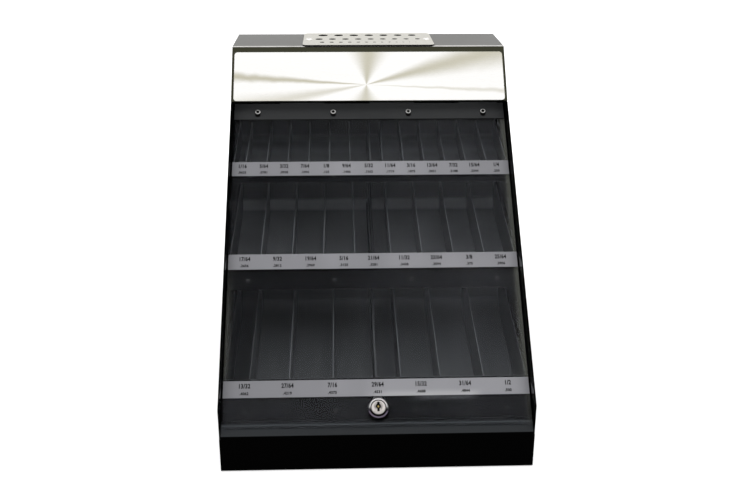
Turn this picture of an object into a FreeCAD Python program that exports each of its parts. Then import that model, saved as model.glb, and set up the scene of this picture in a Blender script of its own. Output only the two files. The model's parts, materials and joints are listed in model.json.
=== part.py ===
import FreeCAD, Part
import math
import os
from FreeCAD import Placement, Rotation, Vector

# Countertop display case for drill bits: a wedge of folded sheet steel with three tiers
# of sloping trays behind a clear, top-hinged, locking door, and a drill gauge on top.
# Millimetres. +X right, +Y to the back, +Z up; the origin is the middle of the footprint.
# Places on the sloping front are given as (s, d): s up the slope from the top of the
# side walls' upright front edge, d straight in from the side walls' sloping edge.

# Case
case_width = 355.6
case_depth = 442.5
case_height = 418.1
sheet = 1.5                    # steel of the case
bend = 1.5                     # inside radius of its folds
flange = 12.0                  # width of the folded edges
front_edge = 78.8              # top of the upright front edge
top_depth = 96.1               # of the flat top
header_length = 81.0           # up the slope of the header
header_angle = math.radians(50.2)
hood_lip = 42.0                # depth of the fold under the header

# Door
door_side_gap = 1.3            # from the side walls
door_sheet = 3.0
door_recess = 20.0             # depth of the door's outer face
door_foot = -15.5              # s of its lower edge
door_head_gap = 5.0            # from its upper edge to the hinge axis
seat_top = -9.0                # s of the upper edge of the seat that the door closes on
seat_return = 12.0             # depth of the fold behind the seat

# Hinge
leaf = 1.2
knuckle_radius = 2.75
pin_radius = 1.5
hinge_play = 0.05              # radial
knuckle_count = 6
knuckle_gap = 0.3
door_leaf_width = 27.2         # from the hinge's axis to the leaf's lower edge
case_leaf_width = 18.0
rivet_drop = 16.4              # from the hinge's axis
rivet_pitch = 97.5
rivet_count = 4
rivet_shift = 1.5              # of the row to the right
rivet_head = 3.9               # radius
rivet_head_height = 1.5
rivet_shank = 2.0              # radius
rivet_tail = 2.5               # behind the door

# Label strips on the door
strip_height = 20.0
strip_thickness = 0.3

# Lock, placed on the door
lock_x = 1.3
lock_s = 6.1
bezel_radius = 12.25
bezel_height = 3.2
bezel_step = 1.1
barrel_radius = 9.4
barrel_length = 16.0           # behind the door's outer face
barrel_flat = 7.9              # half the distance across the two flats
plug_radius = 6.0
plug_face_radius = 7.7
plug_face_recess = 0.5         # below the bezel's rim
plug_face_height = 1.2
lock_play = 0.05               # radial
lock_end_play = 0.3
nut_across = 22.0
nut_height = 3.0
cam_thickness = 1.5
cam_reach = 20.0
cam_width = 12.0
cam_square = 3.5               # half the side of the plug's square end
screw_head = 4.4               # radius
screw_head_height = 2.5
screw_shank = 1.9              # radius
screw_length = 7.0             # inside the plug
key_round = 1.9                # radius of the keyhole's round
key_slot = 1.5                 # width of its slot
key_slot_length = 4.6
key_depth = 9.0

# Header plate and drill gauge
plate_thickness = 1.0
plate_side_gap = 3.3           # from the hood's edges
plate_corner = 4.0
plate_foot = 2.0               # from the header's lower edge
plate_head = 8.9               # from its upper edge
gauge_width = 173.0
gauge_depth = 93.0
gauge_thickness = 2.0
gauge_corner = 6.0
gauge_back_edge = 4.0          # from the case's back
gauge_screw_x = 79.1
gauge_screw_place = 42.0       # from the plate's front edge
gauge_screw_head = 4.6         # radius
gauge_screw_dome = 1.8
gauge_screw_shank = 2.0        # radius
gauge_screw_tail = 6.0
gauge_window_half = 70.0       # opening in the hood, under the gauge's holes
gauge_window_places = (10.0, 85.0)
inch = 25.4
# rows of the gauge: sizes in 64ths of an inch, place from the plate's front, web between holes
gauge_rows = {
    "large": {"sizes": range(32, 25, -1), "place": 74.5, "web": 8.85},
    "medium": {"sizes": range(25, 16, -1), "place": 44.5, "web": 8.25},
    "small": {"sizes": range(16, 3, -1), "place": 20.5, "web": 6.4},
}

# Trays
tray_sheet = 1.0
tray_slope = math.radians(12.0)
tray_side_gap = 2.3            # from the side walls' inner faces
tray_lip = 8.0                 # back wall above the dividers
tray_door_gap = 0.6
divider = 1.0
rail_drop = 3.0                # front rail below the tray's rim
rail_foot = 15.0               # depth of its fold under the tray
rail_height = 24.0             # rear rail
rail_tab = 15.0
# Each tier: s of the trays' rims, how far the label strip's upper edge lies below the rim,
# depth and length of the trays, radius where the floor turns up, seam between the two trays,
# the dividers' places from a tray's left wall, whether the left-hand tray is a mirror image
# of the other, and the height of the rear rail's middle over the back of the floor.
tiers = {
    "upper": {"rim": 329.0, "strip_drop": 1.5, "depth": 26.0, "length": 113.0, "scoop": 14.0,
              "seam": 0.2, "dividers": [15.5 + 26.5 * k for k in range(6)], "mirrored": False,
              "rear_rail": 15.0},
    "middle": {"rim": 197.0, "strip_drop": -2.0, "depth": 42.0, "length": 182.0, "scoop": 22.0,
               "seam": 1.6, "dividers": [21.2 + 38.2 * k for k in range(4)], "mirrored": True,
               "rear_rail": 26.0},
    "lower": {"rim": 43.0, "strip_drop": 3.0, "depth": 54.0, "length": 212.0, "scoop": 22.0,
              "seam": 0.2, "dividers": [28.2, 74.0, 124.2], "mirrored": False,
              "rear_rail": 26.0},
}

# Derived places
half = case_width / 2
wall_inside = half - sheet
front = -case_depth / 2                       # outer face of the base's front
back = case_depth / 2
wall_front = front + sheet                    # the side walls' upright front edge
header_top = (back - top_depth, case_height)
header_foot = (header_top[0] - header_length * math.cos(header_angle),
               header_top[1] - header_length * math.sin(header_angle))
slope_run = header_foot[0] - wall_front
slope_rise = header_foot[1] - front_edge
slope_length = math.hypot(slope_run, slope_rise)
slope_angle = math.atan2(slope_rise, slope_run)
up = (math.cos(slope_angle), math.sin(slope_angle))
inward = (math.sin(slope_angle), -math.cos(slope_angle))


def slope(s, d):
    return (wall_front + s * up[0] + d * inward[0], front_edge + s * up[1] + d * inward[1])


header_in = (math.sin(header_angle), -math.cos(header_angle))
door_width = case_width - 2 * (sheet + door_side_gap)
seat_depth = door_recess + door_sheet
tray_reach = wall_inside - tray_side_gap      # of a tier to each side
hinge_d = door_recess - knuckle_radius
hinge_z = header_foot[1] - knuckle_gap - knuckle_radius
hinge_s = (hinge_z - front_edge + hinge_d * up[0]) / up[1]
hinge_y = slope(hinge_s, hinge_d)[0]

os.makedirs("parts", exist_ok=True)
nodes = {}


def keep(name, shape):
    nodes[name] = shape


def vec(point, x=0.0):
    return Vector(x, point[0], point[1])


def offset_path(points, distance):
    """Shift a path in the YZ plane to its left, with mitred corners."""
    lines = []
    for a, b in zip(points, points[1:]):
        length = math.hypot(b[0] - a[0], b[1] - a[1])
        run = ((b[0] - a[0]) / length, (b[1] - a[1]) / length)
        left = (-run[1] * distance, run[0] * distance)
        lines.append(((a[0] + left[0], a[1] + left[1]), (b[0] + left[0], b[1] + left[1]), run))
    moved = [lines[0][0]]
    for (a, _, run), (c, _, turn) in zip(lines, lines[1:]):
        cross = run[0] * turn[1] - run[1] * turn[0]
        reach = ((c[0] - a[0]) * turn[1] - (c[1] - a[1]) * turn[0]) / cross
        moved.append((a[0] + run[0] * reach, a[1] + run[1] * reach))
    moved.append(lines[-1][1])
    return moved


def turns(points):
    """For each corner of a path, whether it turns left (1) or right (-1)."""
    signs = []
    for a, b, c in zip(points, points[1:], points[2:]):
        cross = (b[0] - a[0]) * (c[1] - b[1]) - (b[1] - a[1]) * (c[0] - b[0])
        signs.append(1 if cross > 0 else -1)
    return signs


def rounded(points, radii):
    """Edges of a path in the YZ plane with an arc at each corner."""
    edges = []
    start = points[0]
    for a, b, c, radius in zip(points, points[1:], points[2:], radii):
        before = Vector(0, b[0] - a[0], b[1] - a[1]).normalize()
        after = Vector(0, c[0] - b[0], c[1] - b[1]).normalize()
        angle = before.getAngle(after)
        corner = vec(b)
        if radius < 1e-6:
            edges.append(Part.makeLine(vec(start), corner))
            start = b
            continue
        cut = radius * math.tan(angle / 2)
        first = corner - before * cut
        last = corner + after * cut
        bisector = (after - before).normalize()
        middle = corner + bisector * (radius / math.cos(angle / 2) - radius)
        edges.append(Part.makeLine(vec(start), first))
        edges.append(Part.Arc(first, middle, last).toShape())
        start = (last.y, last.z)
    edges.append(Part.makeLine(vec(start), vec(points[-1])))
    return edges


def extrude_edges(edges, x_from, x_to):
    face = Part.Face(Part.Wire(Part.__sortEdges__(edges)))
    face.translate(Vector(x_from, 0, 0))
    return face.extrude(Vector(x_to - x_from, 0, 0))


def prism(points, x_from, x_to):
    closed = list(points) + [points[0]]
    edges = [Part.makeLine(vec(a), vec(b)) for a, b in zip(closed, closed[1:])]
    return extrude_edges(edges, x_from, x_to)


def folded(points, thickness, x_from, x_to, radii=None):
    """A folded sheet. Its path is the left-hand face; the metal lies to the right of it."""
    signs = turns(points)
    inside = radii or [bend] * len(signs)
    near = [r + (thickness if sign < 0 else 0) for r, sign in zip(inside, signs)]
    far = [r + (thickness if sign > 0 else 0) for r, sign in zip(inside, signs)]
    other = offset_path(points, -thickness)
    edges = rounded(points, near) + rounded(other, far)
    edges.append(Part.makeLine(vec(points[0]), vec(other[0])))
    edges.append(Part.makeLine(vec(points[-1]), vec(other[-1])))
    return extrude_edges(edges, x_from, x_to)


def box(x, y, z):
    return Part.makeBox(x[1] - x[0], y[1] - y[0], z[1] - z[0], Vector(x[0], y[0], z[0]))


def rod(radius, start, end):
    axis = end - start
    return Part.makeCylinder(radius, axis.Length, start, axis)


def fuse(shapes):
    whole = shapes[0].fuse(list(shapes[1:])) if len(shapes) > 1 else shapes[0]
    return whole.removeSplitter()


def on_slope(shape, s=0.0, d=0.0, x=0.0):
    """Place a shape that is drawn flat: X across, Y up the slope, Z out of the case."""
    place = Placement(vec(slope(s, d), x), Rotation(Vector(1, 0, 0), math.degrees(slope_angle)))
    moved = shape.copy()
    moved.Placement = place.multiply(moved.Placement)
    return moved


def revolve(points):
    """Turned solid from a closed outline of (radius, height) points."""
    corners = [Vector(r, 0, z) for r, z in points]
    face = Part.Face(Part.makePolygon(corners + [corners[0]]))
    return face.revolve(Vector(0, 0, 0), Vector(0, 0, 1), 360)


def rivet(head_radius, head_height, shank_radius, length):
    """Rivet along -Z with its low coned head standing on Z = 0."""
    return revolve([(0, head_height), (head_radius * 0.55, head_height), (head_radius, 0),
                    (shank_radius, 0), (shank_radius, -length), (0, -length)])


def rounded_plate(width, height, thickness, corner):
    """Plate with its lower left corner at the origin and round corners."""
    plate = Part.makeBox(width, height, thickness)
    upright = [e for e in plate.Edges if abs(e.Vertexes[0].Z - e.Vertexes[-1].Z) > thickness / 2]
    return plate.makeFillet(corner, upright)


# Case -------------------------------------------------------------------------------------


def side_outline():
    """The side wall's outline, which steps in under the hood's edge."""
    foot = slope(slope_length - knuckle_gap, 0)
    under = (foot[0] + header_in[0] * sheet, foot[1] + header_in[1] * sheet)
    run = (case_height - sheet - under[1]) / math.tan(header_angle)
    return [(wall_front, sheet), (wall_front, front_edge), foot, under,
            (under[0] + run, case_height - sheet), (back - sheet, case_height - sheet),
            (back - sheet, sheet)]


def side_panel():
    """Left wall with folded edges at the front, the floor, the back, the top and the header."""
    outline = side_outline()
    wall = prism(outline, -half, -wall_inside)
    inner = -wall_inside + flange
    low_front, front_corner, _, under, top_front, top_back, low_back = outline
    edges = [
        folded([low_front, (wall_front, seat_corner()[1] - bend - sheet)], sheet, -wall_inside,
               inner),
        folded([low_back, low_front], sheet, -wall_inside, inner),
        folded([top_back, low_back], sheet, -wall_inside, inner),
        folded([top_front, top_back], sheet, -wall_inside, inner),
        folded([under, top_front], sheet, -wall_inside, inner),
    ]
    return fuse([wall] + edges)


def mirror(shape):
    return shape.mirror(Vector(0, 0, 0), Vector(1, 0, 0))


def seat_corner():
    """Where the seat meets the base's front panel."""
    return slope((front - wall_front - seat_depth * inward[0]) / up[0], seat_depth)


def base_pan():
    """Floor, front panel and the sloping seat that the door closes on."""
    corner = seat_corner()
    seat_end = slope(seat_top, seat_depth)
    seat_hook = slope(seat_top, seat_depth + seat_return)
    between = wall_inside - flange - bend
    seat_reach = wall_inside - knuckle_gap
    low_front = (front, corner[1] - bend - sheet)
    seat = folded([low_front, corner, seat_end, seat_hook], sheet, -seat_reach, seat_reach)
    skirt = folded([(back - sheet, 0), (front, 0), low_front], sheet, -half, half)
    upstand = folded([(back - sheet, flange), (back - sheet, 0), (0, 0)], sheet,
                     -between, between)
    return fuse([skirt, seat, upstand])


def hood():
    """Top and header in one sheet, with a lip under the header and a window under the gauge."""
    lip_end = header_foot[0] + hood_lip
    reach = wall_inside - knuckle_gap
    shell = folded([(lip_end, header_foot[1] + flange), (lip_end, header_foot[1]), header_foot,
                    header_top, (back, case_height)], sheet, -reach, reach)
    side_foot = (header_foot[0] + math.cos(header_angle) * bend,
                 header_foot[1] + math.sin(header_angle) * bend)
    cover = folded([side_foot, header_top, (back, case_height)], sheet, -half, half)
    window = box((-gauge_window_half, gauge_window_half),
                 [gauge_front() + place for place in gauge_window_places],
                 (case_height - 3 * sheet, case_height + sheet))
    return fuse([shell, cover]).cut(window)


def back_panel():
    wall = box((-half, half), (back - sheet, back), (0, case_height - sheet))
    inner = wall_inside - flange - bend
    top = box((-inner, inner), (back - sheet - flange, back - sheet),
              (case_height - 2 * sheet, case_height - sheet))
    return fuse([wall, top])


def header_plate():
    height = header_length - plate_foot - plate_head
    width = case_width - 2 * plate_side_gap
    plate = rounded_plate(width, height, plate_thickness, plate_corner)
    plate.translate(Vector(-width / 2, plate_foot, 0))
    place = Placement(vec(header_foot), Rotation(Vector(1, 0, 0), math.degrees(header_angle)))
    plate.Placement = place.multiply(plate.Placement)
    return plate


def gauge_front():
    return back - gauge_back_edge - gauge_depth


def gauge_screw_y():
    return gauge_front() + gauge_screw_place


def drill_gauge():
    """Plate with a hole for every size by 64ths of an inch, the largest row at the back."""
    plate = rounded_plate(gauge_width, gauge_depth, gauge_thickness, gauge_corner)
    plate.translate(Vector(-gauge_width / 2, gauge_front(), case_height))
    holes = []
    for row in gauge_rows.values():
        radii = [size * inch / 128 for size in row["sizes"]]
        x = -(sum(radii) + row["web"] * (len(radii) - 1) / 2)
        y = gauge_front() + row["place"]
        for radius in radii:
            x += radius
            holes.append(rod(radius, Vector(x, y, case_height - sheet),
                             Vector(x, y, case_height + 2 * gauge_thickness)))
            x += radius + row["web"]
    return plate.cut(holes + gauge_screw_holes())


def gauge_screw_holes():
    low = case_height - 2 * sheet
    high = case_height + 2 * gauge_thickness
    return [rod(gauge_screw_shank, Vector(x, gauge_screw_y(), low), Vector(x, gauge_screw_y(), high))
            for x in (-gauge_screw_x, gauge_screw_x)]


def gauge_screws():
    screws = []
    for x in (-gauge_screw_x, gauge_screw_x):
        screw = rivet(gauge_screw_head, gauge_screw_dome, gauge_screw_shank, gauge_screw_tail)
        screw.translate(Vector(x, gauge_screw_y(), case_height + gauge_thickness))
        screws.append(screw)
    return Part.makeCompound(screws)


# Hinge ------------------------------------------------------------------------------------


def knuckle_span(index):
    pitch = door_width / knuckle_count
    left = -door_width / 2 + index * pitch
    return left + knuckle_gap / 2, left + pitch - knuckle_gap / 2


def knuckles(first):
    """Every other barrel of the hinge, with the strip of leaf that is rolled into it."""
    bore = pin_radius + hinge_play
    barrels = []
    for index in range(first, knuckle_count, 2):
        low, high = knuckle_span(index)
        start = Vector(low, hinge_y, hinge_z)
        end = Vector(high, hinge_y, hinge_z)
        barrels.append((low, high, rod(knuckle_radius, start, end), rod(bore, start, end)))
    return barrels


def hinge_leaf_case():
    """Leaf under the hood's lip, reaching forward to its own barrels."""
    top = header_foot[1]
    start = hinge_y + knuckle_radius + knuckle_gap
    plate = box((-door_width / 2, door_width / 2), (start, start + case_leaf_width),
                (top - leaf, top))
    tongues = [box((low, high), (hinge_y, start), (top - leaf, top))
               for low, high, _, _ in knuckles(0)]
    barrels = [barrel for _, _, barrel, _ in knuckles(0)]
    bores = [bore for _, _, _, bore in knuckles(0)]
    return fuse([plate] + tongues + barrels).cut(bores)


def hinge_leaf_door():
    """Leaf on the door's outer face, reaching up to its own barrels."""
    end = hinge_s - knuckle_radius - knuckle_gap
    foot = hinge_s - door_leaf_width
    plate = box((-door_width / 2, door_width / 2), (foot, end), (0, leaf))
    tongues = [box((low, high), (end, hinge_s), (0, leaf)) for low, high, _, _ in knuckles(1)]
    flat = on_slope(fuse([plate] + tongues), 0, door_recess)
    barrels = [barrel for _, _, barrel, _ in knuckles(1)]
    bores = [bore for _, _, _, bore in knuckles(1)]
    return fuse([flat] + barrels).cut(bores + rivet_holes())


def hinge_pin():
    return rod(pin_radius, Vector(-door_width / 2, hinge_y, hinge_z),
               Vector(door_width / 2, hinge_y, hinge_z))


def rivet_places():
    span = rivet_pitch * (rivet_count - 1)
    return [rivet_shift - span / 2 + index * rivet_pitch for index in range(rivet_count)]


def rivet_holes():
    """Holes through the door leaf and the door, drawn in place."""
    depth = leaf + door_sheet
    hole = rod(rivet_shank, Vector(0, 0, -2 * depth), Vector(0, 0, depth))
    return [on_slope(hole, hinge_s - rivet_drop, door_recess, x) for x in rivet_places()]


def hinge_rivets():
    fixing = rivet(rivet_head, rivet_head_height, rivet_shank, leaf + door_sheet + rivet_tail)
    return Part.makeCompound([on_slope(fixing, hinge_s - rivet_drop, door_recess - leaf, x)
                              for x in rivet_places()])


# Door -------------------------------------------------------------------------------------


def barrel_outline(radius, flat, low, high):
    """Round bar along Z with two flats that face left and right."""
    bar = rod(radius, Vector(0, 0, low), Vector(0, 0, high))
    return bar.common(box((-flat, flat), (-radius, radius), (low, high)))


def door_window():
    """Clear sheet with the lock's flatted hole and the hinge's rivet holes."""
    head = hinge_s - door_head_gap
    pane = box((-door_width / 2, door_width / 2), (door_foot, head), (-door_sheet, 0))
    opening = barrel_outline(barrel_radius + lock_play, barrel_flat + lock_play,
                             -2 * door_sheet, door_sheet)
    opening.translate(Vector(lock_x, lock_s, 0))
    return on_slope(pane.cut(opening), 0, door_recess).cut(rivet_holes())


def label_strip(tier):
    strip = box((-door_width / 2, door_width / 2), (-strip_height, 0), (0, strip_thickness))
    return on_slope(strip, tier["rim"] - tier["strip_drop"], door_recess)


# Lock, drawn with Z out of the door and the door's outer face at Z = 0 ---------------------


def on_lock(shape):
    return on_slope(shape, lock_s, door_recess, lock_x)


def lock_body():
    """Stepped bezel and flatted barrel, bored for the plug."""
    bore = plug_radius + lock_play
    face_bore = plug_face_radius + lock_play
    seat = bezel_height - plug_face_recess - plug_face_height - lock_end_play
    rim = (bezel_radius + face_bore) / 2
    bezel = revolve([(bore, 0), (bezel_radius, 0), (bezel_radius, bezel_height - bezel_step),
                     (rim + bezel_step, bezel_height - bezel_step / 2), (rim, bezel_height),
                     (face_bore, bezel_height), (face_bore, seat), (bore, seat)])
    barrel = barrel_outline(barrel_radius, barrel_flat, -barrel_length, 0)
    hole = rod(bore, Vector(0, 0, -2 * barrel_length), Vector(0, 0, bezel_height))
    return on_lock(bezel.fuse(barrel.cut(hole)).removeSplitter())


def lock_nut():
    """Hexagon nut that clamps the body from behind the door."""
    corner = nut_across / 2 / math.cos(math.pi / 6)
    points = [Vector(corner * math.cos(math.pi / 3 * k), corner * math.sin(math.pi / 3 * k),
                     -door_sheet - nut_height) for k in range(6)]
    hexagon = Part.Face(Part.makePolygon(points + [points[0]])).extrude(Vector(0, 0, nut_height))
    hole = rod(barrel_radius + lock_play, Vector(0, 0, -2 * barrel_length), Vector(0, 0, 0))
    return on_lock(hexagon.cut(hole))


def cam_level():
    return -barrel_length - lock_end_play


def lock_plug():
    """Turning plug with a keyhole in its face and a square end for the cam."""
    top = bezel_height - plug_face_recess
    face = rod(plug_face_radius, Vector(0, 0, top - plug_face_height), Vector(0, 0, top))
    stem = rod(plug_radius, Vector(0, 0, cam_level()), Vector(0, 0, top - plug_face_height))
    end = box((-cam_square, cam_square), (-cam_square, cam_square),
              (cam_level() - cam_thickness, cam_level()))
    round_hole = rod(key_round, Vector(0, key_round, top - key_depth), Vector(0, key_round, top))
    slot = box((-key_slot / 2, key_slot / 2), (-key_slot_length, key_round),
               (top - key_depth, top))
    thread = rod(screw_shank, Vector(0, 0, cam_level() - cam_thickness),
                 Vector(0, 0, cam_level() - cam_thickness + screw_length))
    return on_lock(face.fuse([stem, end]).cut([round_hole, slot, thread]).removeSplitter())


def lock_cam():
    """Hook plate on the plug's square end. At rest it points up, clear of the seat."""
    low = cam_level() - cam_thickness
    end = cam_reach - cam_width / 2
    eye = rod(cam_width / 2, Vector(0, 0, low), Vector(0, 0, cam_level()))
    arm = box((-cam_width / 2, cam_width / 2), (0, end), (low, cam_level()))
    tip = rod(cam_width / 2, Vector(0, end, low), Vector(0, end, cam_level()))
    square = box((-cam_square, cam_square), (-cam_square, cam_square), (low, cam_level()))
    return on_lock(eye.fuse([arm, tip]).cut(square).removeSplitter())


def lock_screw():
    low = cam_level() - cam_thickness
    head = rod(screw_head, Vector(0, 0, low - screw_head_height), Vector(0, 0, low))
    shank = rod(screw_shank, Vector(0, 0, low), Vector(0, 0, low + screw_length))
    return on_lock(head.fuse(shank).removeSplitter())


# Trays ------------------------------------------------------------------------------------


def tray_path(tier, lip=0.0):
    """Inside of a tray from the rim of its front wall, along the floor, to the back wall."""
    rim = slope(tier["rim"], seat_depth + tray_door_gap)
    y_front = rim[0] + tray_sheet
    y_back = y_front + tier["length"]
    rise = tier["length"] * math.tan(tray_slope)
    floor = rim[1] - tier["depth"]
    return [(y_front, rim[1]), (y_front, floor), (y_back, floor + rise),
            (y_back, rim[1] + rise + lip)]


def pocket(tier, x_from, x_to):
    """Solid slice of the space in a tray, up to the line of the divider tops."""
    path = tray_path(tier)
    edges = rounded(path, [bend, tier["scoop"]])
    edges.append(Part.makeLine(vec(path[-1]), vec(path[0])))
    return extrude_edges(edges, x_from, x_to)


def tray(tier):
    """Folded trough with end walls, drawn as the right-hand tray of its tier."""
    start = tier["seam"] / 2
    trough = folded(tray_path(tier, tray_lip), tray_sheet, start, tray_reach,
                    [bend, tier["scoop"]])
    ends = [pocket(tier, start, start + tray_sheet),
            pocket(tier, tray_reach - tray_sheet, tray_reach)]
    return fuse([trough] + ends)


def dividers(tier, left_wall):
    plates = [pocket(tier, left_wall + x - divider / 2, left_wall + x + divider / 2)
              for x in tier["dividers"]]
    return Part.makeCompound(plates)


def front_rail(tier):
    """Angle in front of the trays and under their floors, with an end tab at each side wall."""
    rim, corner, _ = offset_path(tray_path(tier)[:3], -tray_sheet)
    top = rim[1] - rail_drop
    foot = (corner[0] + rail_foot * math.cos(tray_slope),
            corner[1] + rail_foot * math.sin(tray_slope))
    angle = folded([(rim[0], top), corner, foot], sheet, -wall_inside, wall_inside)
    tab = box((-wall_inside, sheet - wall_inside), (rim[0] - sheet, rim[0] + rail_tab),
              (corner[1], top))
    return fuse([angle, tab, mirror(tab)])


def rear_rail(tier):
    """Strip behind the trays, with its ends folded back along the side walls."""
    y, floor = tray_path(tier)[2]
    y += tray_sheet
    middle = floor + tier["rear_rail"]
    height = (middle - rail_height / 2, middle + rail_height / 2)
    strip = box((-wall_inside, wall_inside), (y, y + sheet), height)
    tab = box((-wall_inside, sheet - wall_inside), (y, y + rail_tab), height)
    return fuse([strip, tab, mirror(tab)])


# Assembly ---------------------------------------------------------------------------------

base = base_pan()
cover = hood()
left_wall = side_panel().cut([base, cover])
keep("side_panel_left", left_wall)
keep("side_panel_right", mirror(left_wall))
keep("back_panel", back_panel())
keep("base_pan", base)
keep("hood", cover.cut(gauge_screw_holes()))
keep("header_plate", header_plate())
keep("drill_gauge", drill_gauge())
keep("gauge_screws", gauge_screws())

keep("hinge_leaf_case", hinge_leaf_case())
keep("hinge_leaf_door", hinge_leaf_door())
keep("hinge_pin", hinge_pin())
keep("hinge_rivets", hinge_rivets())

keep("door_window", door_window())
keep("lock_body", lock_body())
keep("lock_nut", lock_nut())
keep("lock_plug", lock_plug())
keep("lock_cam", lock_cam())
keep("lock_screw", lock_screw())

for name, tier in tiers.items():
    keep("label_strip_" + name, label_strip(tier))
    right_tray = tray(tier)
    keep(name + "_tray_right", right_tray)
    keep(name + "_tray_left", mirror(right_tray))
    right_wall = tier["seam"] / 2
    right_dividers = dividers(tier, right_wall)
    keep(name + "_dividers_right", right_dividers)
    if tier["mirrored"]:
        keep(name + "_dividers_left", mirror(right_dividers))
    else:
        keep(name + "_dividers_left", dividers(tier, -tray_reach))
    keep(name + "_rail_front", front_rail(tier))
    keep(name + "_rail_rear", rear_rail(tier))

for name, shape in nodes.items():
    shape.exportStep("parts/" + name + ".step")
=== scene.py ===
import json
import math

import bmesh
import bpy
from mathutils import Matrix, Vector


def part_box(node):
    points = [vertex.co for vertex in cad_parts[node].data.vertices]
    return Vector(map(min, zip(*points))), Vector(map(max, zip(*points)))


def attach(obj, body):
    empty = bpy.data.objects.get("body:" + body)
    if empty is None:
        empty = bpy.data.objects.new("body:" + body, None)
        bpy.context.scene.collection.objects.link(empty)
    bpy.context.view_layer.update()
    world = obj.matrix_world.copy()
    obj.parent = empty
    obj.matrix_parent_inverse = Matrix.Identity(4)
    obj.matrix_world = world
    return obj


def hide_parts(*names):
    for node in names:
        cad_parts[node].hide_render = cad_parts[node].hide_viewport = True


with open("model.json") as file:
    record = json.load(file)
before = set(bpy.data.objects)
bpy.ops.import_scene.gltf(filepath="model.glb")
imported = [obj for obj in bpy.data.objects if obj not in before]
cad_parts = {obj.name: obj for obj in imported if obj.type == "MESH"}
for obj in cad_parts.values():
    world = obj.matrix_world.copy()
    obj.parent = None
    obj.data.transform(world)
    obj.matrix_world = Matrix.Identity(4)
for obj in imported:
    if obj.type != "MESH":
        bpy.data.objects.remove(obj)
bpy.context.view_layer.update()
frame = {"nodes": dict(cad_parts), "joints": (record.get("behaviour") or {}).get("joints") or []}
nodes = frame["nodes"]
joints = {joint["name"]: joint for joint in frame["joints"]}
mm = 0.001

# the door's plane, from the lock's axis, which stands square to it
lockCentre = Vector(joints["lock_turn"]["pos_m"])
outward = -Vector(joints["lock_turn"]["axis"]).normalized()
acrossDoor = Vector((1, 0, 0))
upDoor = outward.cross(acrossDoor)
print("frame loaded,", len(nodes), "nodes")


class Value:
    # a socket that takes part in sums like a number does
    def __init__(self, finish, socket):
        self.finish = finish
        self.socket = socket

    def calc(self, operation, *others):
        inputs = dict(enumerate((self,) + others))
        return self.finish.node("ShaderNodeMath", {"operation": operation}, inputs)

    def __add__(self, other):
        return self.calc("ADD", other)

    def __radd__(self, other):
        return self.calc("ADD", other)

    def __sub__(self, other):
        return self.calc("SUBTRACT", other)

    def __rsub__(self, other):
        settings = {"operation": "SUBTRACT"}
        return self.finish.node("ShaderNodeMath", settings, {0: other, 1: self})

    def __mul__(self, other):
        return self.calc("MULTIPLY", other)

    def __rmul__(self, other):
        return self.calc("MULTIPLY", other)

    def __truediv__(self, other):
        return self.calc("DIVIDE", other)

    def __pow__(self, other):
        return self.calc("POWER", other)

    def __gt__(self, other):
        return self.calc("GREATER_THAN", other)

    def __abs__(self):
        return self.calc("ABSOLUTE")

    def __neg__(self):
        return 0 - self

    def most(self, other):
        return self.calc("MAXIMUM", other)

    def clamp(self):
        return self.finish.node("ShaderNodeClamp", {}, {"Value": self})

    def between(self, low, high):
        # 0 below low, 1 above high, smooth in between
        settings = {"interpolation_type": "SMOOTHSTEP"}
        return self.finish.node("ShaderNodeMapRange", settings,
                                {"Value": self, "From Min": low, "From Max": high})


class Finish:
    def __init__(self, name, tree=None):
        if tree is None:
            self.material = bpy.data.materials.new(name)
            self.material.use_nodes = True
            tree = self.material.node_tree
        self.tree = tree
        self.tree.nodes.clear()

    def node(self, kind, settings=None, inputs=None, output=None):
        made = self.tree.nodes.new(kind)
        for key, value in (settings or {}).items():
            setattr(made, key, value)
        for key, value in (inputs or {}).items():
            if isinstance(value, Value):
                self.tree.links.new(value.socket, made.inputs[key])
            else:
                made.inputs[key].default_value = value
        if not made.outputs:
            return None
        if output is None:
            output = next(i for i, socket in enumerate(made.outputs) if socket.enabled)
        return Value(self, made.outputs[output])

    def place(self, kind="Object"):
        return self.node("ShaderNodeTexCoord", {}, {}, kind)

    def parts(self, vector):
        split = self.node("ShaderNodeSeparateXYZ", {}, {"Vector": vector})
        outputs = split.socket.node.outputs
        return [Value(self, outputs[axis]) for axis in "XYZ"]

    def noise(self, scale, detail=2.0, rough=0.5, place=None):
        return self.node("ShaderNodeTexNoise", {}, {
            "Vector": place or self.place(), "Scale": scale, "Detail": detail,
            "Roughness": rough}, "Fac")

    def streaks(self, scales, detail, rough, turn=(0, 0, 0)):
        # noise with a scale of its own along each axis
        place = self.node("ShaderNodeMapping", {}, {"Vector": self.place(), "Scale": scales,
                                                    "Rotation": turn})
        return self.noise(1.0, detail, rough, place)

    def mix(self, share, first, second):
        inputs = {0: share, 6: first, 7: second}
        return self.node("ShaderNodeMix", {"data_type": "RGBA"}, inputs)

    def bump(self, height, distance, rounding=0.0):
        inputs = {"Height": height, "Distance": distance, "Strength": 1.0}
        if rounding:
            soft = {"Radius": rounding}
            inputs["Normal"] = self.node("ShaderNodeBevel", {"samples": 4}, soft)
        return self.node("ShaderNodeBump", {}, inputs)

    def surface(self, inputs):
        return self.node("ShaderNodeBsdfPrincipled", {}, inputs)

    def mixShader(self, share, first, second):
        return self.node("ShaderNodeMixShader", {}, {0: share, 1: first, 2: second})

    def done(self, shader):
        self.node("ShaderNodeOutputMaterial", {}, {"Surface": shader})
        return self.material


def grey(level, warmth=0.0):
    return (level * (1 + warmth), level, level * (1 - warmth), 1.0)


def distance(first, second):
    return (first ** 2.0 + second ** 2.0) ** 0.5


def heights(name):
    # how low and how high the box of a CAD node reaches
    low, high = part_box(name)
    return low.z, high.z


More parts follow.
